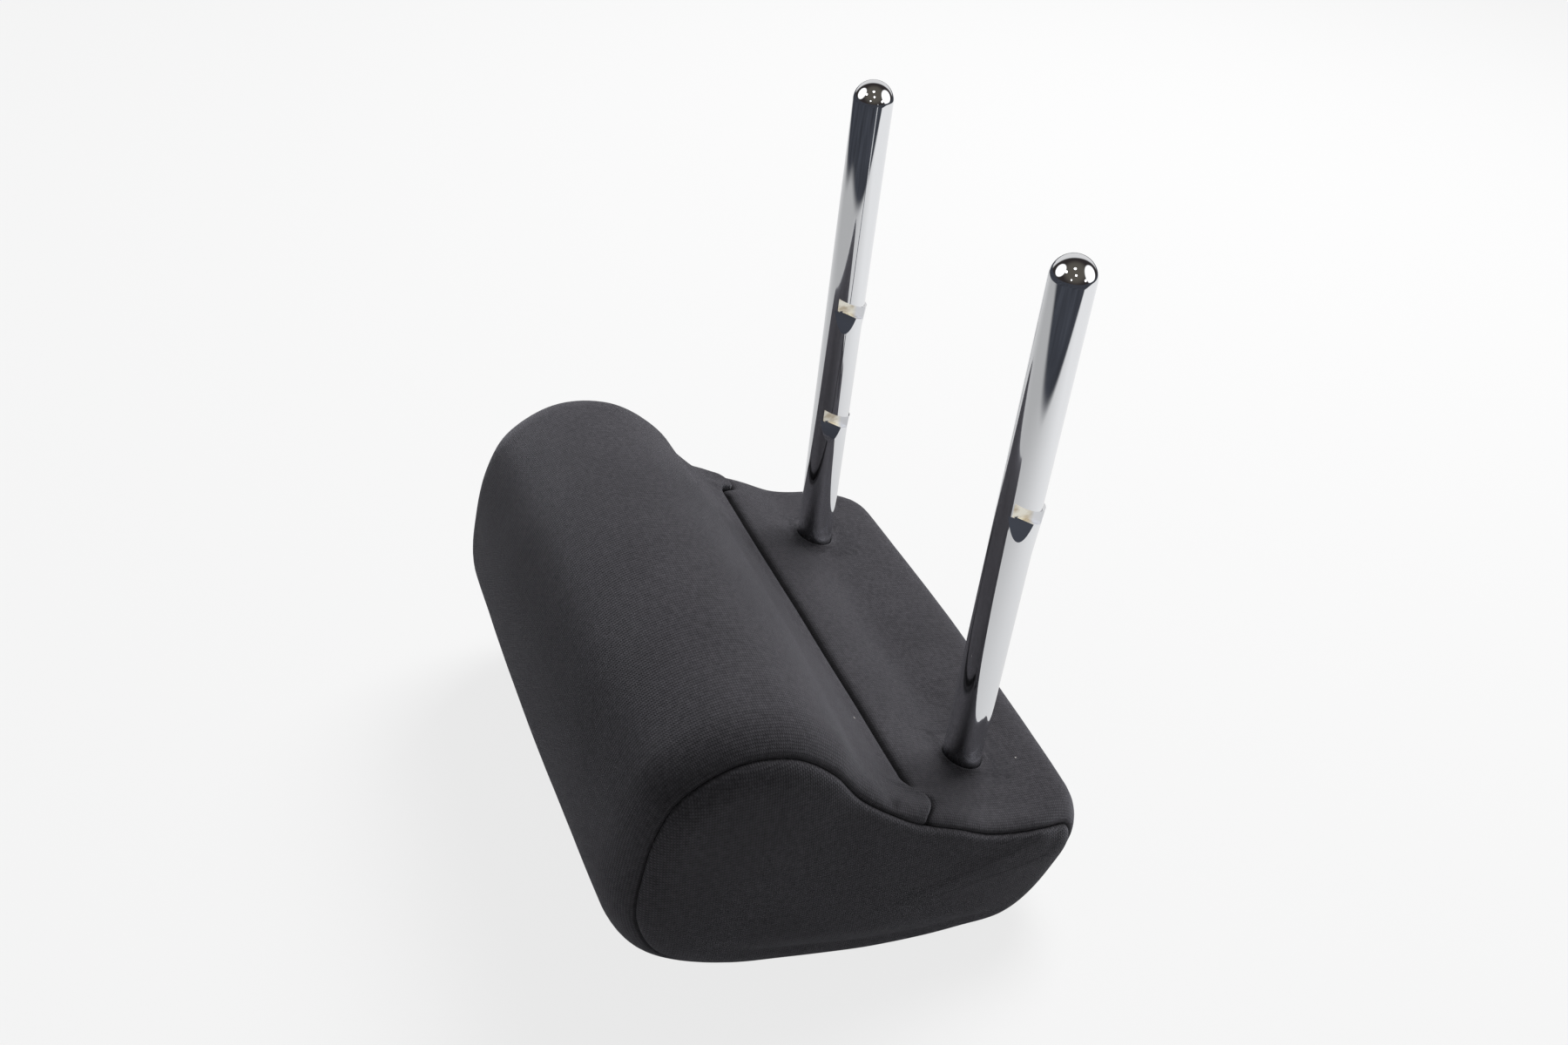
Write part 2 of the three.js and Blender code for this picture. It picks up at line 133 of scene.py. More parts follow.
def end_radius(point):
    """How far the pad rounds off towards its ends: tight at the base, full at the crown and roll."""
    turned = max(smooth_step(base_z - point.y, 0.002, 0.026), smooth_step(point.x, 0.016, 0.034))
    radius = blend_between(base_round, back_round, turned)
    radius = blend_between(crown_round, radius, smooth_step(point.y, 0.004, 0.026))
    radius = blend_between(radius, front_round, smooth_step(-point.x, 0.113, 0.133))
    return blend_between(radius, roll_round, smooth_step(point.y, base_z + 0.019, base_z + 0.049))


stations = {}


def station(place):
    key = round(place % section_length, 6)
    if key not in stations:
        point = section_at(place)[0]
        stations[key] = (point, outward_at(place), outward_at(place, 0.006), end_radius(point))
    return stations[key]


def pad_point(place, turn, spread):
    """A point of the pad's surface and its outward normal. Turn is the angle of the end rounding."""
    middle, outward, close_outward, radius = station(place)
    x = (pad_width / 2 - radius * (1 - math.sin(turn))) * spread
    point = middle - outward * radius * (1 - math.cos(turn))
    away = (2 * x / pad_width) ** 2
    y = point.x - back_bow * away * smooth_step(middle.x, -0.014, 0.031)
    y += front_bow * away * smooth_step(-middle.x, 0.088, 0.125)
    z = point.y - roll_sag * away * smooth_step(middle.y, base_z + 0.014, base_z + 0.075)
    side = math.copysign(math.sin(turn), spread)
    blended = close_outward.lerp(outward, math.sin(turn))
    normal = Vector((side, blended.x * math.cos(turn), blended.y * math.cos(turn))).normalized()
    return Vector((x, y, max(z, 0.0))), normal


seam_turn = math.radians(50)
slot_place = section_place(slot_y)


def panel_mesh(name, points, faces, flat_places):
    """A mesh with each point's place on the flat cloth as its UV map and the depth of its fold."""
    mesh = bpy.data.meshes.new(name)
    mesh.from_pydata([tuple(p) for p in points], [], faces)
    layer = mesh.uv_layers.new(name="cloth")
    for loop in mesh.loops:
        layer.data[loop.index].uv = flat_places[loop.vertex_index][:2]
    fold = mesh.attributes.new(name="fold", type="FLOAT", domain="POINT")
    fold.data.foreach_set("value", [place[2] for place in flat_places])
    mesh.polygons.foreach_set("use_smooth", [True] * len(mesh.polygons))
    piece = bpy.data.objects.new(name, mesh)
    bpy.context.scene.collection.objects.link(piece)
    return piece


def select_only(piece):
    bpy.ops.object.select_all(action="DESELECT")
    piece.select_set(True)
    bpy.context.view_layer.objects.active = piece


def pick_vertices(piece, keep):
    """In edit mode, selects the vertices that keep says yes to."""
    mesh = bmesh.from_edit_mesh(piece.data)
    bpy.ops.mesh.select_all(action="DESELECT")
    bpy.ops.mesh.select_mode(type="VERT")
    for vertex in mesh.verts:
        vertex.select_set(keep(vertex))
    mesh.select_flush_mode()
    bmesh.update_edit_mesh(piece.data)


# The foam under the cloth swells a little between the seams, where nothing holds it back. That
# swelling is found by letting a closed skin of the pad be pushed out from inside while its seams,
# the closing slot, the post holes and the flat of the crown are held.
post_x = 0.0659
skin_inset = 0.0003
swell_limit = 0.0016
swell_voxel = 0.0055
swell_pressure = 4
swell_steps = 20
skin_columns = 130
held_steps = 260
unswollen_inset = 0.0004
crown_level = 0.0035


def swollen_form():
    turns = [math.radians(a) for a in (90, 70, 50, 25, 0)]
    rings = [(t, 1.0) for t in turns] + [(0.0, s / 8) for s in range(6, -7, -2)]
    rings += [(t, -1.0) for t in reversed(turns)]
    count = skin_columns
    points, faces = [], []
    for turn, spread in rings:
        for i in range(count):
            point, normal = pad_point(section_length * i / count, turn, spread)
            points.append(point - normal * skin_inset)
    for r in range(len(rings) - 1):
        for i in range(count):
            a, b = r * count + i, r * count + (i + 1) % count
            faces.append((a, b, b + count, a + count))
    faces.append(tuple(range(count - 1, -1, -1)))
    last = (len(rings) - 1) * count
    faces.append(tuple(range(last, last + count)))
    form = panel_mesh("foam_swell", points, faces, [(0, 0, 0)] * len(points))
    select_only(form)
    remesh = form.modifiers.new("remesh", "REMESH")
    remesh.mode = "VOXEL"
    remesh.voxel_size = swell_voxel
    bpy.ops.object.modifier_apply(modifier=remesh.name)
    rest = [v.co.copy() for v in form.data.vertices]

    held_lines = []
    for i in range(held_steps):
        for side in (-1, 1):
            held_lines.append(pad_point(section_length * i / held_steps, seam_turn, side)[0])
    for i in range(81):
        held_lines.append(pad_point(slot_place, 0, (i - 40) / 40)[0])
    lines = kdtree.KDTree(len(held_lines))
    for i, point in enumerate(held_lines):
        lines.insert(point, i)
    lines.balance()
    held = form.vertex_groups.new(name="held")
    for i, point in enumerate(rest):
        hold = 1 - smooth_step(lines.find(point)[2], 0.004, 0.013)
        if point.z > 0.03:
            to_post = math.hypot(abs(point.x) - post_x, point.y)
            hold = max(hold, 1 - smooth_step(to_post, 0.009, 0.018))
        hold = max(hold, 1 - smooth_step(point.z, 0.002, 0.006))
        held.add([i], hold, "REPLACE")

    cloth = form.modifiers.new("cloth", "CLOTH")
    cloth.settings.quality = 8
    cloth.settings.mass = 0.3
    cloth.settings.tension_stiffness = 18
    cloth.settings.compression_stiffness = 18
    cloth.settings.shear_stiffness = 8
    cloth.settings.bending_stiffness = 2
    cloth.settings.use_pressure = True
    cloth.settings.uniform_pressure_force = swell_pressure
    cloth.settings.vertex_group_mass = "held"
    cloth.settings.effector_weights.gravity = 0
    cloth.point_cache.frame_start = 1
    cloth.point_cache.frame_end = swell_steps
    for step in range(1, swell_steps + 1):
        bpy.context.scene.frame_set(step)
    bpy.ops.object.modifier_apply(modifier=cloth.name)
    bpy.context.scene.frame_set(1)

    moved = [v.co - at for v, at in zip(form.data.vertices, rest)]
    tree = kdtree.KDTree(len(rest))
    for i, point in enumerate(rest):
        tree.insert(point, i)
    tree.balance()
    mesh = form.data
    bpy.data.objects.remove(form)
    bpy.data.meshes.remove(mesh)
    return tree, moved


swell_tree, swell_moves = swollen_form()


def laid_on_foam(point, normal):
    """Where a point of the cover comes to lie on the swollen foam, with its slight unevenness."""
    out = -unswollen_inset
    if swell_tree:
        total, weights = 0.0, 0.0
        for place, index, distance in swell_tree.find_n(point - normal * skin_inset, 10):
            weight = 1 / (distance + 0.001) ** 2
            total += weight * min(swell_moves[index].dot(normal), swell_limit)
            weights += weight
        out = total / weights - skin_inset
    out += 0.00035 * noise.noise(point * 23) + 0.00012 * noise.noise(point * 61 + Vector((3, 1, 7)))
    moved = point + normal * out
    if moved.z < crown_level:
        moved.z = point.z
    return moved


# The charcoal cloth of the cover: a fine knit with a thin foam backing. The stitches follow each
# panel's own cut, the yarn is two dark greys and a few specks of lint lie on it. Deep in the slot
# and in the seams the yarn's colour and sheen are lowered with the depth of the fold, as painted
# shade, since little light reaches in there.
stitch_pitch = 0.00105
dark_yarn = (0.022, 0.021, 0.024)
light_yarn = (0.066, 0.063, 0.069)
lint_colour = (0.42, 0.40, 0.38)
fold_depths = (0.0003, 0.0021)
painted_shade_deepest = 0.16
cloth_sheen = 0.24


def math_node(tree, operation, *values):
    node = tree.nodes.new("ShaderNodeMath")
    node.operation = operation
    for socket, value in zip(node.inputs, values):
        if isinstance(value, bpy.types.NodeSocket):
            tree.links.new(value, socket)
        else:
            socket.default_value = value
    return node.outputs[0]


def noise_node(tree, place, scale, detail):
    node = tree.nodes.new("ShaderNodeTexNoise")
    node.inputs["Scale"].default_value = scale
    node.inputs["Detail"].default_value = detail
    tree.links.new(place, node.inputs["Vector"])
    return node.outputs["Fac"]


def range_node(tree, value, low, high, to_low=0.0, to_high=1.0, curve="LINEAR"):
    node = tree.nodes.new("ShaderNodeMapRange")
    node.interpolation_type = curve
    for name, end in (("From Min", low), ("From Max", high), ("To Min", to_low), ("To Max", to_high)):
        node.inputs[name].default_value = end
    tree.links.new(value, node.inputs["Value"])
    return node.outputs["Result"]


def mix_node(tree, share, first, second, blend="MIX"):
    """Mixes two colours. Each of them and the share of the second is a value or a socket."""
    node = tree.nodes.new("ShaderNodeMix")
    node.data_type = "RGBA"
    node.blend_type = blend
    for name, value in (("Factor", share), ("A", first), ("B", second)):
        if isinstance(value, bpy.types.NodeSocket):
            tree.links.new(value, node.inputs[name])
        else:
            node.inputs[name].default_value = value if name == "Factor" else (*value, 1)
    return node.outputs["Result"]


def new_material(name):
    """A new material, its node tree, its shader and the place on the piece that patterns read."""
    material = bpy.data.materials.new(name)
    material.use_nodes = True
    tree = material.node_tree
    where = tree.nodes.new("ShaderNodeTexCoord")
    return material, tree, tree.nodes["Principled BSDF"], where.outputs["Object"]


def raise_surface(tree, height, strength, distance):
    bump = tree.nodes.new("ShaderNodeBump")
    bump.inputs["Strength"].default_value = strength
    bump.inputs["Distance"].default_value = distance
    tree.links.new(height, bump.inputs["Height"])
    tree.links.new(bump.outputs["Normal"], tree.nodes["Principled BSDF"].inputs["Normal"])


def knit_group():
    group = bpy.data.node_groups.new("Fine knit", "ShaderNodeTree")
    for name, way, kind in (
        ("Cloth place", "INPUT", "NodeSocketVector"), ("Stitch pitch", "INPUT", "NodeSocketFloat"),
        ("Stitch height", "OUTPUT", "NodeSocketFloat"), ("Yarn tone", "OUTPUT", "NodeSocketFloat"),
    ):
        group.interface.new_socket(name, in_out=way, socket_type=kind)
    inputs, outputs = group.nodes.new("NodeGroupInput"), group.nodes.new("NodeGroupOutput")
    cloth_place, pitch = inputs.outputs["Cloth place"], inputs.outputs["Stitch pitch"]
    place = group.nodes.new("ShaderNodeSeparateXYZ")
    group.links.new(cloth_place, place.inputs[0])
    along = math_node(group, "DIVIDE", place.outputs[0], pitch)
    across = math_node(group, "DIVIDE", place.outputs[1], pitch)
    drift = math_node(group, "MULTIPLY", noise_node(group, cloth_place, 260, 1), 0.5)
    across = math_node(group, "ADD", across, drift)
    legs = math_node(group, "SINE", math_node(group, "MULTIPLY", across, math.pi))
    legs = math_node(group, "ABSOLUTE", legs)
    lean = math_node(group, "PINGPONG", across, 0.5)
    course = math_node(group, "ADD", math_node(group, "MULTIPLY", along, 1.25), lean)
    loops = math_node(group, "SINE", math_node(group, "MULTIPLY", course, 2 * math.pi))
    loops = math_node(group, "MULTIPLY_ADD", loops, 0.5, 0.5)
    stitch = math_node(group, "MULTIPLY", legs, loops)
    fuzz = noise_node(group, cloth_place, 2600, 2)
    height = math_node(group, "MULTIPLY_ADD", fuzz, 0.5, stitch)
    group.links.new(height, outputs.inputs["Stitch height"])
    tone = math_node(group, "MULTIPLY_ADD", stitch, 0.55, math_node(group, "MULTIPLY", fuzz, 0.6))
    group.links.new(tone, outputs.inputs["Yarn tone"])
    return group


def cloth_material():
    material, tree, shader, where = new_material("Charcoal knit")
    nodes, links = tree.nodes, tree.links
    place = nodes.new("ShaderNodeUVMap")
    place.uv_map = "cloth"
    knit = nodes.new("ShaderNodeGroup")
    knit.node_tree = knit_group()
    knit.inputs["Stitch pitch"].default_value = stitch_pitch
    links.new(place.outputs["UV"], knit.inputs["Cloth place"])
    raise_surface(tree, knit.outputs["Stitch height"], 0.6, 0.00025)

    cloudy = range_node(tree, noise_node(tree, where, 30, 3), 0.3, 0.7, 0.88, 1.12)
    heather = range_node(tree, noise_node(tree, where, 620, 2), 0.3, 0.7, 0.76, 1.24)
    # Painted shade: the deeper a point lies in its fold, the darker its yarn, down to 0.16 of its
    # colour.
    fold = nodes.new("ShaderNodeAttribute")
    fold.attribute_name = "fold"
    painted_shade_share = range_node(tree, fold.outputs["Fac"], *fold_depths, 1.0, painted_shade_deepest, "SMOOTHSTEP")
    tone = math_node(tree, "MULTIPLY", math_node(tree, "MULTIPLY", cloudy, heather), painted_shade_share)
    yarn = mix_node(tree, knit.outputs["Yarn tone"], dark_yarn, light_yarn)
    yarn = mix_node(tree, 1, yarn, tone, "MULTIPLY")

    cells = nodes.new("ShaderNodeTexVoronoi")
    cells.inputs["Scale"].default_value = 70
    links.new(where, cells.inputs["Vector"])
    pick = nodes.new("ShaderNodeSeparateColor")
    links.new(cells.outputs["Color"], pick.inputs[0])
    chosen = math_node(tree, "GREATER_THAN", pick.outputs[0], 0.94)
    near = math_node(tree, "LESS_THAN", cells.outputs["Distance"], 0.032)
    speck = math_node(tree, "MULTIPLY", chosen, near)
    links.new(mix_node(tree, speck, yarn, lint_colour), shader.inputs["Base Color"])

    # The same painted shade lessens the sheen in the folds.
    sheen = math_node(tree, "MULTIPLY", painted_shade_share, cloth_sheen)
    links.new(sheen, shader.inputs["Sheen Weight"])
    shader.inputs["Sheen Roughness"].default_value = 0.5
    shader.inputs["Sheen Tint"].default_value = (0.9, 0.9, 1.0, 1)
    shader.inputs["Roughness"].default_value = 0.95
    shader.inputs["Specular IOR Level"].default_value = 0.25
    return material


charcoal_knit = cloth_material()


# The wrap panel. One long piece of cloth starts in the closing slot, runs over the base, the back,
# the crown, the face and the roll, and goes back into the slot. Its two short ends are sewn to each
# other beside the slot, where the roll's end laps over the base as a small ear.
post_clear = 0.00708
slot_end = 0.0872
# The ear's edge: how far from the middle, and how far it laps onto the base there.
ear_line = [(0.0860, 0.0), (0.0872, 0.0008), (0.0884, 0.0031), (0.0899, 0.0068),
            (0.0920, 0.0078), (0.0940, 0.0072), (0.0963, 0.0054), (0.0994, 0.0032),
            (0.1016, 0.0024)]
ear_dimple = Vector((0.0970, -0.0440, 0.0768))
# Lengthwise lines of the panel, as parts of a span of 96 from its middle to its end rounding.
column_span = 96
column_places = [0, 6, 12, 18, 24, 30, 36, 42, 48, 53.9, 57.9, 61.9, 65.9, 69.9, 73.9, 77.9, 81.5,
                 84.0, 86.0, 86.9, 87.7, 88.5, 89.3, 90.3, 91.5, 93.0, 94.6]
edge_steps = [0.0001, 0.0005, 0.0010, 0.0017]
slot_rows = edge_steps + [0.0026, 0.0036, 0.0050, 0.0070, 0.0097, 0.0132, 0.0175]
row_step = 0.0052
tucks = [0.0150, 0.0110, 0.0075, 0.0045, 0.0020]
seam_tuck = 0.0030
seam_lean = 0.0012
past_slot_limit = 0.0023
cloth_wall = 0.0012
hole_half_width = 0.012
hole_half_length = 0.0122
hole_edge = 0.0115
hole_settling = 0.0036
# Each ring of a post hole: its radius, how deep it lies and how evenly its points are spread.
hole_rings = [(0.0108, 0, 0.5), (0.0095, 0.0, 1), (0.0086, 0.0001, 1), (0.0079, 0.0004, 1),
              (0.0074, 0.0010, 1), (post_clear, 0.0022, 1), (post_clear, 0.0070, 1)]


def bell(distance, width, power=2.0):
    return math.exp(-(abs(distance / width) ** power))


def ear_shift(x):
    """How far the sewn line beside the slot moves onto the base."""
    away = abs(x)
    for (a, low), (b, high) in zip(ear_line, ear_line[1:]):
        if away <= b:
            return blend_between(low, high, max(away - a, 0) / (b - a))
    return ear_line[-1][1]


def seam_depth(distance):
    """How far the cloth turns in beside a sewn line."""
    return 0.0011 * bell(distance, 0.0009, 1.4) + 0.0003 * bell(distance, 0.0045)


def edge_distances(arc):
    """Distances from a sewn line, close together where the cloth turns in."""
    last = edge_steps[-1]
    return edge_steps + [blend_between(last, arc, share) for share in (0.14, 0.38, 0.68, 1.0)]


def wrap_columns():
    """Places of the panel's lengthwise lines: a share of the flat width, or a step from its edge."""
    half = [("spread", x / column_span) for x in column_places]
    half += [("edge", step) for step in range(len(edge_distances(1)) - 1, -1, -1)]
    return [(kind, value, -1) for kind, value in reversed(half)] + [
        (kind, value, 1) for kind, value in half[1:]]


def wrap_point(place, column):
    """Point, normal, flat distance from the panel's middle and distance from its sewn edge."""
    kind, value, side = column
    radius = station(place)[3]
    arc = radius * seam_turn
    if kind == "spread":
        point, normal = pad_point(place, 0.0, side * value)
        return point, normal, point.x, arc + 0.02
    distance = edge_distances(arc)[value]
    point, normal = pad_point(place, seam_turn - distance / radius, side)
    return point, normal, side * (pad_width / 2 - radius + arc - distance), distance


def slot_drop(distance, roll_side, x, to_seam):
    """How far the cloth sinks beside the slot, and how far it leans over it. Negative is proud."""
    opened = 1 - smooth_step(abs(x), slot_end - 0.0036, slot_end)
    fade = smooth_step(to_seam, 0.0, 0.006)
    if roll_side:
        slot = 0.0060 * bell(distance, 0.0007, 1.5) - 0.0003 * bell(distance - 0.0022, 0.0030)
        sewn = 0.0026 * bell(distance, 0.0009, 1.6) - 0.0013 * bell(distance, 0.009)
        lean = blend_between(0.0006 * fade, 0.0010, opened) * bell(distance - 0.0012, 0.0013)
        return blend_between(sewn * fade, slot, opened), lean
    slot = 0.0076 * bell(distance, 0.0029, 1.3) + 0.0005 * bell(distance, 0.0075)
    sewn = 0.0036 * bell(distance, 0.0018, 1.3)
    return blend_between(sewn, slot, opened), 0.0


def wrap_rows():
    """Distances along the panel from one end in the slot to the other."""
    at_posts = [section_place(y) for y in (-0.012, -0.008, -0.004, 0.0, 0.004, 0.008, 0.012)]
    rows = slot_rows + [(place - slot_place) % section_length for place in at_posts]
    between = section_length - slot_rows[-1] - rows[-1]
    steps = round(between / row_step)
    rows += [rows[-1] + between * k / steps for k in range(1, steps)]
    return rows + [section_length - row for row in reversed(slot_rows)]


def cloth_vertex(row, column, tuck):
    """One crossing of the panel's lines where the cloth really lies, and its place when flat."""
    x_here = wrap_point(slot_place, column)[0].x
    roll_side = row > section_length / 2
    to_slot = section_length - row if roll_side else row
    shift = ear_shift(x_here) * (1 - smooth_step(to_slot, 0.004, 0.030))
    point, normal, flat, to_seam = wrap_point(slot_place + row + shift, column)
    drop, lean = slot_drop(to_slot, roll_side, x_here, to_seam)
    place = slot_place + row + shift + lean
    point = wrap_point(place, column)[0]
    if tuck == 0:
        point = laid_on_foam(point, normal)
    if roll_side:
        mirrored = Vector((abs(point.x), point.y, point.z))
        drop += 0.0016 * bell((mirrored - ear_dimple).length, 0.0036)
    drop += seam_depth(to_seam)
    if abs(x_here) > slot_end:
        drop = min(drop, past_slot_limit)
    drop += tuck
    along = row + shift + (tuck if roll_side else -tuck)
    return point - normal * drop, normal, (along, flat, drop)


def make_wrap_panel():
    columns = wrap_columns()
    lines = [(slot_rows[0], tuck) for tuck in tucks] + [(row, 0) for row in wrap_rows()]
    lines += [(section_length - slot_rows[0], tuck) for tuck in reversed(tucks)]
    points, places, grid = [], [], []
    for row, tuck in lines:
        crossings = [cloth_vertex(row, column, tuck) for column in columns]
        for side, (point, normal, place) in ((-1, crossings[0]), (1, crossings[-1])):
            for share in (0.4, 1.0):
                under = point - normal * seam_tuck * share
                under.x += side * seam_lean * share
                flat = place[1] + side * seam_tuck * share
                entry = (under, normal, (place[0], flat, place[2] + seam_tuck * share))
                crossings.insert(0 if side < 0 else len(crossings), entry)
        grid.append(range(len(points), len(points) + len(crossings)))
        points += [point for point, normal, place in crossings]
        places += [place for point, normal, place in crossings]

    faces, holes = [], {-1: [], 1: []}
    for top, bottom in zip(grid, grid[1:]):
        for j in range(len(top) - 1):
            face = (top[j], bottom[j], bottom[j + 1], top[j + 1])
            middle = sum((points[v] for v in face), Vector()) / 4
            side = -1 if middle.x < 0 else 1
            off_x, off_y = abs(middle.x - side * post_x), abs(middle.y)
            if middle.z > base_z - 0.008 and off_x < hole_half_width and off_y < hole_half_length:
                holes[side].append(face)
            else:
                faces.append(face)
    for side, hole in holes.items():
        faces += post_hole(side, hole, points, places)
    return panel_mesh("wrap_panel_cloth", points, faces, places)


def section_height(y):
    return section_at(section_place(y))[0].y


def post_hole(side, hole, points, places):
    """Makes the hole round one post out of the faces there: its edge is drawn down along the bar."""
    edges = {(a, b) for face in hole for a, b in zip(face, face[1:] + face[:1])}
    rim = {a: b for a, b in edges if (b, a) not in edges}
    loop = [min(rim)]
    while rim[loop[-1]] != loop[0]:
        loop.append(rim[loop[-1]])
    angles = [math.atan2(points[v].y, points[v].x - side * post_x) for v in loop]
    step = 2 * math.pi / len(loop)
    if math.sin(angles[1] - angles[0]) < 0:
        step = -step
    level = sum(points[v].z for v in loop) / len(loop)
    faces, previous = [], loop
    for radius, drop, even in hole_rings:
        ring = []
        settled = smooth_step(hole_edge - radius, 0.0, hole_settling)
        for k, angle in enumerate(angles):
            turn = angle + even * math.remainder(angles[0] + step * k - angle, 2 * math.pi)
            x, y = radius * math.cos(turn), radius * math.sin(turn)
            edge = points[loop[k]]
            own = edge.z + section_height(y) - section_height(edge.y)
            z = blend_between(own, level + section_height(y) - section_height(0.0), settled)
            ring.append(len(points))
            points.append(Vector((side * post_x + x, y, z - drop)))
            places.append((section_place(y) - slot_place, side * post_x + x, drop))
        for k in range(len(loop)):
            n = (k + 1) % len(loop)
            faces.append((previous[k], previous[n], ring[n], ring[k]))
        previous = ring
    return faces


def finish_cloth(piece, node):
    """Gives a cover panel its thickness and its smooth surface, and lays it on the record's node."""
    select_only(piece)
    bpy.ops.object.mode_set(mode="EDIT")
    bpy.ops.mesh.select_all(action="SELECT")
    bpy.ops.mesh.normals_make_consistent(inside=False)
    bpy.ops.object.mode_set(mode="OBJECT")
    face = max(piece.data.polygons, key=lambda p: p.center.z)
    if face.normal.z < 0:
        piece.data.flip_normals()
    wall = piece.modifiers.new("thickness", "SOLIDIFY")
    wall.thickness = cloth_wall
    wall.offset = -1
    bpy.ops.object.modifier_apply(modifier=wall.name)
    rounder = piece.modifiers.new("smooth", "SUBSURF")
    rounder.levels = rounder.render_levels = 1
    bpy.ops.object.modifier_apply(modifier=rounder.name)
    piece.data.materials.append(charcoal_knit)
    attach(piece, "root")
    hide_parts(node)


finish_cloth(make_wrap_panel(), "cover_wrap_panel")


# The two end panels, each sewn all round to the edges of the wrap panel with a plain seam. They are
# a little crowned, because the foam behind them pushes outwards.
end_crown = 0.003
end_middle = Vector((pad_width / 2, -0.0607, 0.033))
usual_end_arc = 0.016


def end_ring(count, side, step):
    """One closed line of an end panel, a step of edge_distances from its seam."""
    ring = []
    for i in range(count):
        place = section_length * i / count
        radius = station(place)[3]
        distance = edge_distances(radius * (math.pi / 2 - seam_turn))[step]
        point, normal = pad_point(place, seam_turn + distance / radius, side)
        ring.append(laid_on_foam(point, normal) - normal * seam_depth(distance))
    return ring


def make_end_panel(name, side):
    count = 200
    rings = [end_ring(count, side, step) for step in range(len(edge_distances(1)))]
    rim, sewn_edge = rings[-1], rings[0]
    for share in (0.4, 1.0):
        turned_in = []
        for i, point in enumerate(sewn_edge):
            normal = pad_point(section_length * i / count, seam_turn, side)[1]
            turned_in.append(point - normal * seam_tuck * share)
        rings.insert(0, turned_in)
    for share in (0.92, 0.82, 0.71, 0.6, 0.49, 0.38, 0.27):
        ring = []
        for point in rim:
            y = blend_between(end_middle.y, point.y, share)
            z = blend_between(end_middle.z, point.z, share)
            x = blend_between(side * end_middle.x, point.x, share) + side * end_crown * (1 - share**2)
            ring.append(Vector((x + 0.0004 * noise.noise((x * 21, y * 21, z * 21)), y, z)))
        rings.append(ring)
    points = [point for ring in rings for point in ring]
    faces = []
    for r in range(len(rings) - 1):
        for i in range(count):
            n = (i + 1) % count
            faces.append((r * count + i, r * count + n, (r + 1) * count + n, (r + 1) * count + i))
    depths = [2 * seam_tuck, 2 * seam_tuck]
    depths += [seam_depth(step) for step in edge_distances(usual_end_arc)]
    depths += [0.0] * (len(rings) - len(depths))
    places = [(p.y, p.z, depth) for ring, depth in zip(rings, depths) for p in ring]
    panel = panel_mesh(name, points, faces, places)
    select_only(panel)
    bpy.ops.object.mode_set(mode="EDIT")
    inner = len(points) - count
    pick_vertices(panel, lambda vertex: vertex.index >= inner)
    bpy.ops.mesh.fill_grid()
    bpy.ops.mesh.faces_shade_smooth()
    bpy.ops.object.mode_set(mode="OBJECT")
    flat = panel.data.uv_layers["cloth"]
    for loop in panel.data.loops:
        at = panel.data.vertices[loop.vertex_index].co
        flat.data[loop.index].uv = (at.y, at.z)
    return panel


for panel_name, panel_node, panel_side in (
    ("end_panel_left_cloth", "cover_end_panel_left", -1),
    ("end_panel_right_cloth", "cover_end_panel_right", 1),
):
    finish_cloth(make_end_panel(panel_name, panel_side), panel_node)


# The post bar: one 14 mm steel bar bent to a U, with domed ends and bright chrome plate. The height
# notches are pressed into its right side: a leaning band of bare steel and a turned ramp below it.
# The metal is driven out on the side away from the roll and runs back into the round further down.
post_radius = 0.007
tip_z = 0.247
bridge_z = 0.023
bend_radius = 0.020
notch_depth = 0.0024
notch_band = 0.0046
notch_tilt = math.radians(22)
notch_reach = 0.009
ramp_foot = (0.00485, -0.0024, -0.0031)
ramp_turn = math.radians(20)
ramp_run = 5.4
# Each notch: its post, its height over the base, how far metal is driven out and over what run.
notches = [(-1, 0.112, 0.0012, 0.011), (-1, 0.064, 0.0005, 0.008), (1, 0.112, 0.0016, 0.020)]
chrome_colour = (0.80, 0.81, 0.83)
dark_steel = (0.60, 0.52, 0.39)
light_steel = (0.94, 0.91, 0.81)
silver_steel = (0.80, 0.81, 0.84)
silver_from = (0.0008, 0.0026)


def chrome_material():
    material, tree, shader, where = new_material("Bright chrome")
    dull = range_node(tree, noise_node(tree, where, 90, 4), 0.35, 0.75, 0.03, 0.07)
    tree.links.new(dull, shader.inputs["Roughness"])
    shader.inputs["Metallic"].default_value = 1
    shader.inputs["Base Color"].default_value = (*chrome_colour, 1)
    return material


def notch_steel_material():
    """Bare pressed steel with short marks of the tool, which turns silver towards the back."""
    material, tree, shader, where = new_material("Notch steel")
    stretch = tree.nodes.new("ShaderNodeMapping")
    stretch.inputs["Scale"].default_value = (0.5, 0.5, 1)
    tree.links.new(where, stretch.inputs["Vector"])
    marks = noise_node(tree, stretch.outputs["Vector"], 420, 5)
    bare = mix_node(tree, range_node(tree, marks, 0.36, 0.60), dark_steel, light_steel)
    across = tree.nodes.new("ShaderNodeSeparateXYZ")
    tree.links.new(where, across.inputs[0])
    silver = range_node(tree, across.outputs["Y"], *silver_from)
    tree.links.new(mix_node(tree, silver, bare, silver_steel), shader.inputs["Base Color"])
    raise_surface(tree, marks, 0.4, 0.0001)
    shader.inputs["Metallic"].default_value = 1
    shader.inputs["Roughness"].default_value = 0.34
    return material


bright_chrome = chrome_material()
notch_steel = notch_steel_material()


def ring_heights(side):
    """Where the rings of one post lie: close together at its notches, where the metal is moved."""
    heights = [base_z, 0.085, 0.1, 0.2, tip_z]
    for post, height, swell, run in notches:
        if post == side:
            top = base_z + height
            heights += [top + 0.0050, top + 0.0001, top - 0.0003]
            heights += [top - run * share for share in (0.25, 0.5, 0.75, 1.0)]
    return sorted(heights)


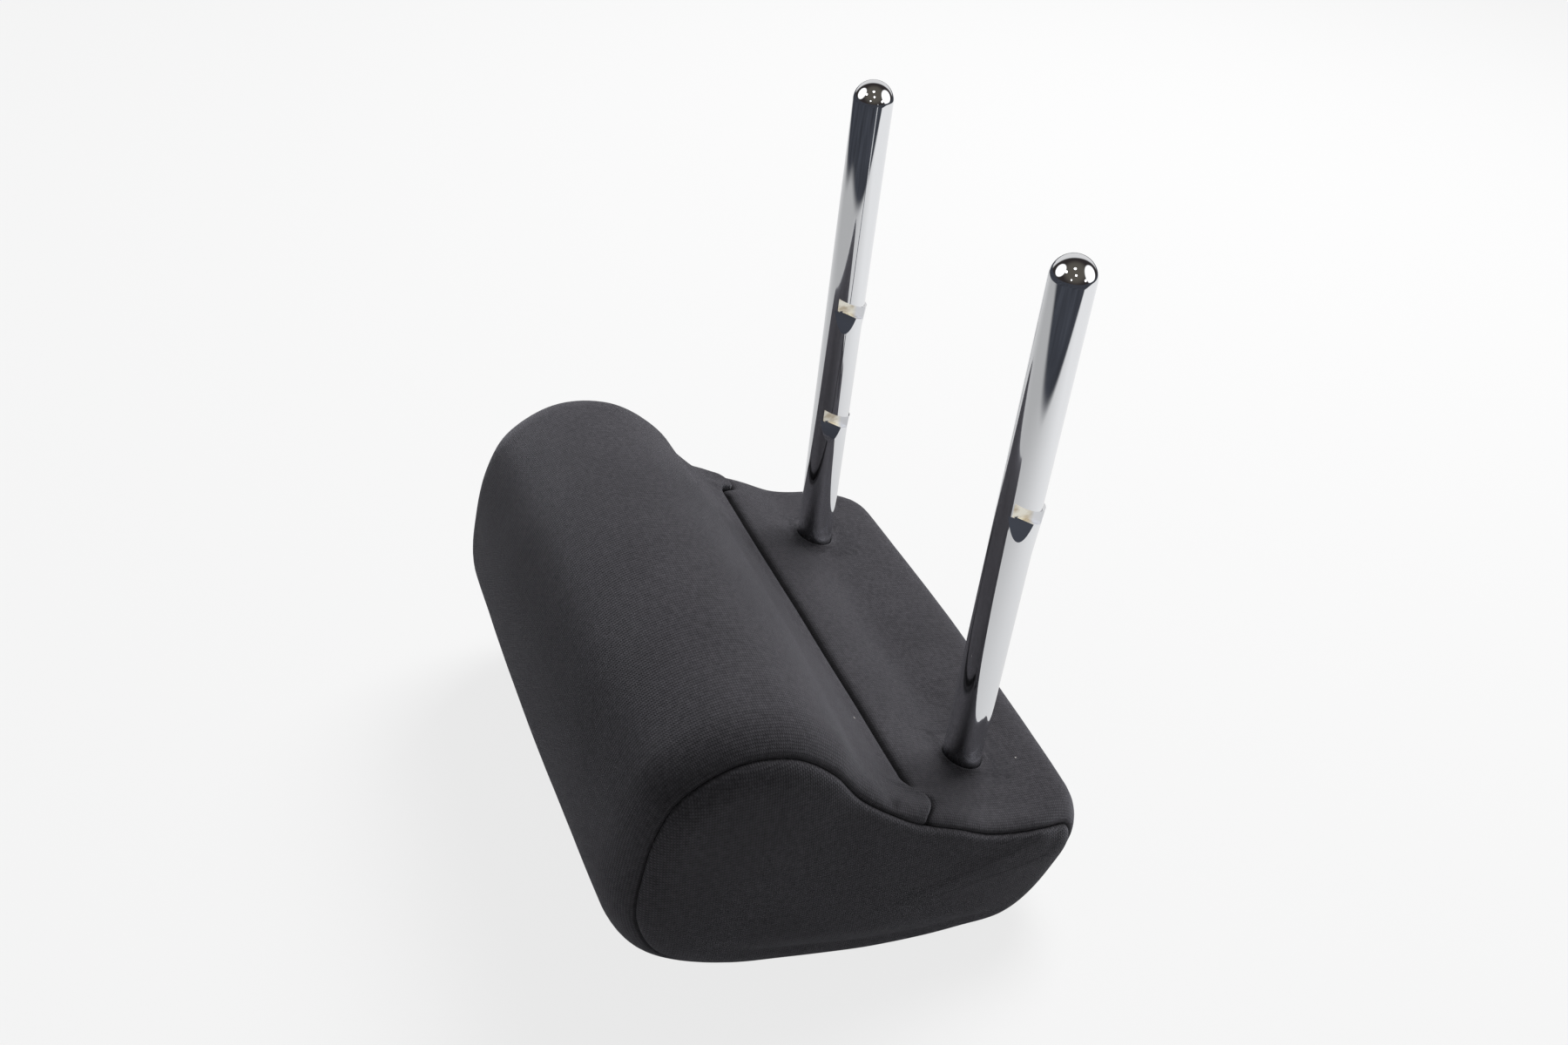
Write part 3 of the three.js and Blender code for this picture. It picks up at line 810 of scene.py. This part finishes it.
def make_post_bar():
    bend_level = bridge_z + bend_radius
    bpy.ops.object.select_all(action="DESELECT")
    bpy.ops.mesh.primitive_circle_add(
        vertices=64, radius=post_radius, fill_type="NOTHING", location=(-post_x, 0, bend_level))
    bar = bpy.context.object
    bar.name = "post_bar_chromed"
    bpy.ops.object.transform_apply(location=True, rotation=True, scale=True)
    bpy.ops.object.mode_set(mode="EDIT")
    bpy.ops.mesh.select_all(action="SELECT")
    bpy.ops.mesh.spin(
        steps=12, angle=math.pi / 2, center=(bend_radius - post_x, 0, bend_level), axis=(0, 1, 0))
    bpy.ops.mesh.extrude_region_move(
        TRANSFORM_OT_translate={"value": (2 * (post_x - bend_radius), 0, 0)})
    bpy.ops.mesh.spin(
        steps=12, angle=math.pi / 2, center=(post_x - bend_radius, 0, bend_level), axis=(0, 1, 0))
    for side in (1, -1):
        pick_vertices(bar, lambda v: abs(v.co.z - bend_level) < 1e-5 and v.co.x * side > 0)
        level = bend_level
        for height in ring_heights(side):
            bpy.ops.mesh.extrude_region_move(
                TRANSFORM_OT_translate={"value": (0, 0, height - level)})
            level = height
        bpy.ops.mesh.edge_face_add()
        bpy.ops.mesh.bevel(offset=post_radius * 0.985, segments=16, profile=0.5, affect="EDGES")
    bpy.ops.mesh.select_all(action="SELECT")
    bpy.ops.mesh.remove_doubles(threshold=1e-6)
    bpy.ops.mesh.normals_make_consistent(inside=False)
    bpy.ops.object.mode_set(mode="OBJECT")
    return bar


def drive_out(bar, post, height, swell, run):
    """Moves the metal under one notch sideways, most at the notch and nothing at the run's end."""
    for vertex in bar.data.vertices:
        below = base_z + height - vertex.co.z
        if vertex.co.x * post > 0 and -0.0002 < below < run:
            share = 1 - max(below, 0) / run
            y = vertex.co.y
            vertex.co.z -= y * math.tan(notch_tilt) * share
            if below > 0:
                vertex.co.y += swell * share * max(y / post_radius, 0) ** 2


def notch_cutter(section, finish, place):
    """One side of a notch as a solid: its section is extruded across the post and set in place."""
    bpy.ops.object.select_all(action="DESELECT")
    bpy.ops.mesh.primitive_circle_add(vertices=len(section), fill_type="NGON")
    cutter = bpy.context.object
    for vertex, (across, up) in zip(cutter.data.vertices, section):
        vertex.co = (across, -notch_reach, up)
    bpy.ops.object.mode_set(mode="EDIT")
    bpy.ops.mesh.select_all(action="SELECT")
    bpy.ops.mesh.extrude_region_move(TRANSFORM_OT_translate={"value": (0, 2 * notch_reach, 0)})
    bpy.ops.mesh.select_all(action="SELECT")
    bpy.ops.mesh.normals_make_consistent(inside=False)
    bpy.ops.object.mode_set(mode="OBJECT")
    cutter.data.materials.append(finish)
    cutter.data.transform(place)
    return cutter


def cut_notch(bar, post, height):
    """Cuts the flat band, which leans with the press tool, and the turned ramp below it."""
    out, top = notch_depth + post_radius / 2, base_z + height
    band = [(0, 0), (out, 0), (out, -notch_band), (0, -notch_band)]
    band_place = Matrix.Translation((post * post_x + post_radius - notch_depth, 0, top))
    ramp = [(0, 0), (out, 0), (out, -out * ramp_run)]
    ramp_place = Matrix.Translation((post * post_x + ramp_foot[0], ramp_foot[1], top + ramp_foot[2]))
    for section, finish, place in (
        (band, notch_steel, band_place @ Matrix.Rotation(-notch_tilt, 4, "X")),
        (ramp, bright_chrome, ramp_place @ Matrix.Rotation(-ramp_turn, 4, "Z")),
    ):
        cutter = notch_cutter(section, finish, place)
        select_only(bar)
        cut = bar.modifiers.new("notch", "BOOLEAN")
        cut.operation = "DIFFERENCE"
        cut.solver = "EXACT"
        cut.material_mode = "TRANSFER"
        cut.object = cutter
        bpy.ops.object.modifier_apply(modifier=cut.name)
        bpy.data.objects.remove(cutter)


post_bar = make_post_bar()
post_bar.data.materials.append(bright_chrome)
for notch_post, notch_height, notch_swell, notch_run in notches:
    drive_out(post_bar, notch_post, notch_height, notch_swell, notch_run)
    cut_notch(post_bar, notch_post, notch_height)
select_only(post_bar)
bpy.ops.object.shade_smooth_by_angle(angle=math.radians(9))
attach(post_bar, "root")
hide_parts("post_bar")


# The pieces inside the pad keep their own solids: drawn wire and pressed plate of plain steel, soft
# moulded foam, and black plastic closing strips and seals. Each has its own plain finish.
def plain_material(name, dark, light, roughness, metallic, scale, relief):
    material, tree, shader, where = new_material(name)
    grain = noise_node(tree, where, scale, 4)
    tree.links.new(mix_node(tree, grain, dark, light), shader.inputs["Base Color"])
    raise_surface(tree, grain, 0.5, relief)
    shader.inputs["Metallic"].default_value = metallic
    shader.inputs["Roughness"].default_value = roughness
    return material


inside_finishes = {
    "frame steel": plain_material(
        "Frame steel", (0.30, 0.30, 0.31), (0.48, 0.48, 0.49), 0.42, 1, 240, 0.0002),
    "pad foam": plain_material(
        "Moulded foam", (0.62, 0.56, 0.38), (0.78, 0.73, 0.56), 0.95, 0, 1400, 0.0006),
    "strip plastic": plain_material(
        "Black plastic", (0.015, 0.015, 0.016), (0.03, 0.03, 0.032), 0.5, 0, 900, 0.0001),
}
for node_name, finish in (
    ("roll_wire", "frame steel"), ("support_plate", "frame steel"), ("foam_pad", "pad foam"),
    ("hook_strip_roll", "strip plastic"), ("hook_strip_base", "strip plastic"),
    ("post_seal_left", "strip plastic"), ("post_seal_right", "strip plastic"),
):
    inner_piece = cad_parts[node_name]
    inner_piece.data.materials.clear()
    inner_piece.data.materials.append(inside_finishes[finish])


# The plain pale floor that the headrest lies on, which keeps its shadow. To glossy rays it glows
# instead as a painted reflection of a table: pale near the headrest and darker past its edge, which
# is what gives the posts their dark bands.
reflected_table_middle = (0.03, -0.01)
reflected_table_turn = math.radians(63.73)
reflected_table_reach = ((0.38, 0.85), (1.3, 0.56))
floor_colour = (0.55, 0.55, 0.55)
floor_glow = 0.80
painted_reflection_dark = (0.012, 0.012, 0.014)
painted_reflection_light = (0.090, 0.098, 0.120)


def mix_shaders(tree, share, first, second):
    node = tree.nodes.new("ShaderNodeMixShader")
    for socket, source in zip(node.inputs, (share, first, second)):
        tree.links.new(source, socket)
    return node.outputs["Shader"]


def make_floor():
    bpy.ops.object.select_all(action="DESELECT")
    bpy.ops.mesh.primitive_plane_add(size=8, location=(0, 0, -0.0002))
    floor = bpy.context.object
    floor.name = "floor"
    bpy.ops.object.transform_apply(location=True)
    material, tree, shader, where = new_material("White floor")
    nodes, links = tree.nodes, tree.links
    shader.inputs["Base Color"].default_value = (*floor_colour, 1)
    shader.inputs["Roughness"].default_value = 0.9
    shader.inputs["Specular IOR Level"].default_value = 0
    glow = nodes.new("ShaderNodeEmission")
    path = nodes.new("ShaderNodeLightPath")
    seen = math_node(tree, "MULTIPLY", path.outputs["Is Camera Ray"], floor_glow)
    plain = mix_shaders(tree, seen, shader.outputs["BSDF"], glow.outputs["Emission"])

    # Painted reflection: inside the table's outline the glow is pale, brighter towards the back, and
    # outside it is dark with cloudy patches.
    turned = nodes.new("ShaderNodeMapping")
    turned.vector_type = "TEXTURE"
    turned.inputs["Location"].default_value = (*reflected_table_middle, 0)
    turned.inputs["Rotation"].default_value = (0, 0, reflected_table_turn - math.pi / 2)
    links.new(where, turned.inputs["Vector"])
    split = nodes.new("ShaderNodeSeparateXYZ")
    links.new(turned.outputs["Vector"], split.inputs[0])
    shares = nodes.new("ShaderNodeCombineXYZ")
    for axis, (forward, backward) in enumerate(reflected_table_reach):
        ahead = math_node(tree, "DIVIDE", split.outputs[axis], forward)
        behind = math_node(tree, "DIVIDE", split.outputs[axis], -backward)
        links.new(math_node(tree, "MAXIMUM", ahead, behind), shares.inputs[axis])
    away = nodes.new("ShaderNodeVectorMath")
    away.operation = "LENGTH"
    links.new(shares.outputs[0], away.inputs[0])
    past_edge = range_node(tree, away.outputs["Value"], 0.94, 1.06, curve="SMOOTHSTEP")
    painted_beyond_edge = mix_node(tree, noise_node(tree, where, 5, 2), painted_reflection_dark, painted_reflection_light)
    side = nodes.new("ShaderNodeSeparateXYZ")
    links.new(where, side.inputs[0])
    reflected_paleness = range_node(tree, side.outputs["Y"], -0.35, 0.3, 0.50, 0.92)
    reflected_table_glow = nodes.new("ShaderNodeEmission")
    links.new(mix_node(tree, past_edge, reflected_paleness, painted_beyond_edge), reflected_table_glow.inputs["Color"])
    # Glossy rays see the painted reflection. All other rays see the floor.
    mirrored = mix_shaders(tree, path.outputs["Is Glossy Ray"], plain, reflected_table_glow.outputs["Emission"])
    links.new(mirrored, nodes["Material Output"].inputs["Surface"])
    floor.data.materials.append(material)


make_floor()


# The surroundings: white to the eye, an even grey-white for the light on the object, and for the
# chrome a plain room with a pale wall behind, a bright window at each side and a few ceiling lamps.
pale_wall = ((-0.883, 0.436, 0.10), 36, 10, 0.75)
ceiling_spread = ((0.5, -0.25, 0.8), 30, 35, 0.05)
windows_and_lamps = [
    ((-0.413, -0.790, 0.450), 22, 6, 1.5), ((0.428, 0.810, 0.400), 26, 7, 1.5),
    ((0.080, -0.765, 0.638), 4, 2, 6), ((0.282, -0.200, 0.938), 4, 2, 6),
    ((0.722, -0.290, 0.628), 3, 2, 6), ((0.720, -0.642, 0.263), 2, 2, 4),
    ((0.877, 0.433, 0.206), 4, 2, 4),
]
room_shade = (0.035, 0.030, 0.030)
ceiling_colour = (1.6, 1.5, 1.2)


def soft_spot(tree, direction, toward, radius, softness, strength):
    """A round light patch of the room: where it is, its size and soft edge in degrees, its light."""
    along = tree.nodes.new("ShaderNodeVectorMath")
    along.operation = "DOT_PRODUCT"
    tree.links.new(direction, along.inputs[0])
    along.inputs[1].default_value = Vector(toward).normalized()
    outer, inner = math.cos(math.radians(radius + softness)), math.cos(math.radians(radius))
    return range_node(tree, along.outputs["Value"], outer, inner, 0.0, strength, "SMOOTHSTEP")


def make_world():
    world = bpy.data.worlds.new("Surroundings")
    bpy.context.scene.world = world
    world.use_nodes = True
    tree = world.node_tree
    nodes, links = tree.nodes, tree.links
    background = nodes["Background"]
    background.inputs["Color"].default_value = (0.96, 0.98, 1.0, 1)
    background.inputs["Strength"].default_value = 0.14
    white = nodes.new("ShaderNodeBackground")
    white.inputs["Color"].default_value = (1, 1, 1, 1)
    path = nodes.new("ShaderNodeLightPath")
    to_camera, through_glass = path.outputs["Is Camera Ray"], path.outputs["Is Transmission Ray"]
    seen = math_node(tree, "MAXIMUM", to_camera, through_glass)
    direction = nodes.new("ShaderNodeTexCoord").outputs["Generated"]
    light = soft_spot(tree, direction, *pale_wall)
    for bright_spot in windows_and_lamps:
        light = math_node(tree, "ADD", light, soft_spot(tree, direction, *bright_spot))
    ceiling = soft_spot(tree, direction, *ceiling_spread)
    unlit = mix_node(tree, ceiling, room_shade, ceiling_colour)
    room = nodes.new("ShaderNodeBackground")
    links.new(mix_node(tree, 1, unlit, light, "ADD"), room.inputs["Color"])
    in_mirror = path.outputs["Is Glossy Ray"]
    glossy = mix_shaders(tree, in_mirror, background.outputs[0], room.outputs[0])
    mixed = mix_shaders(tree, seen, glossy, white.outputs[0])
    links.new(mixed, nodes["World Output"].inputs["Surface"])


make_world()


# Soft studio light: one large panel overhead and behind, and a weaker one at the front left.
# The chrome shows the room's windows instead of these panels.
def soft_panel(name, place, target, size, power):
    light = bpy.data.lights.new(name, "AREA")
    light.shape = "RECTANGLE"
    light.size, light.size_y = size
    light.energy = power
    lamp = bpy.data.objects.new(name, light)
    lamp.location = place
    aim = Vector(target) - Vector(place)
    lamp.rotation_euler = aim.to_track_quat("-Z", "Y").to_euler()
    lamp.visible_glossy = False
    bpy.context.scene.collection.objects.link(lamp)


soft_panel("overhead panel", (-0.58, 0.68, 1.34), (0, -0.05, 0.05), (0.8, 0.8), 34)
soft_panel("left panel", (-0.9, -1.2, 0.35), (0, -0.05, 0.08), (0.7, 0.7), 2.7)


# The camera, which stands over the right end of the pad and looks down on it as in the photograph.
# Its direction is an angle round the object, which the painted reflection of the table lies square
# to, a height and a roll.
view_azimuth = reflected_table_turn
view_elevation = math.radians(36.11)
view_roll = math.radians(6.83)
view_place = (0.3752, -0.2323, 0.4224)
camera_data = bpy.data.cameras.new("camera")
camera_data.sensor_width = 36
camera_data.sensor_fit = "HORIZONTAL"
camera_data.lens = 34.37
camera = bpy.data.objects.new("camera", camera_data)
bpy.context.scene.collection.objects.link(camera)
back = Vector((
    math.sin(view_azimuth) * math.cos(view_elevation),
    -math.cos(view_azimuth) * math.cos(view_elevation),
    math.sin(view_elevation)))
level = Vector((math.cos(view_azimuth), math.sin(view_azimuth), 0))
above = back.cross(level)
right = level * math.cos(view_roll) + above * math.sin(view_roll)
up = above * math.cos(view_roll) - level * math.sin(view_roll)
turned = Matrix((right, up, back)).transposed().to_4x4()
camera.matrix_world = Matrix.Translation(view_place) @ turned
bpy.context.scene.camera = camera

bpy.context.scene.view_settings.view_transform = "Standard"
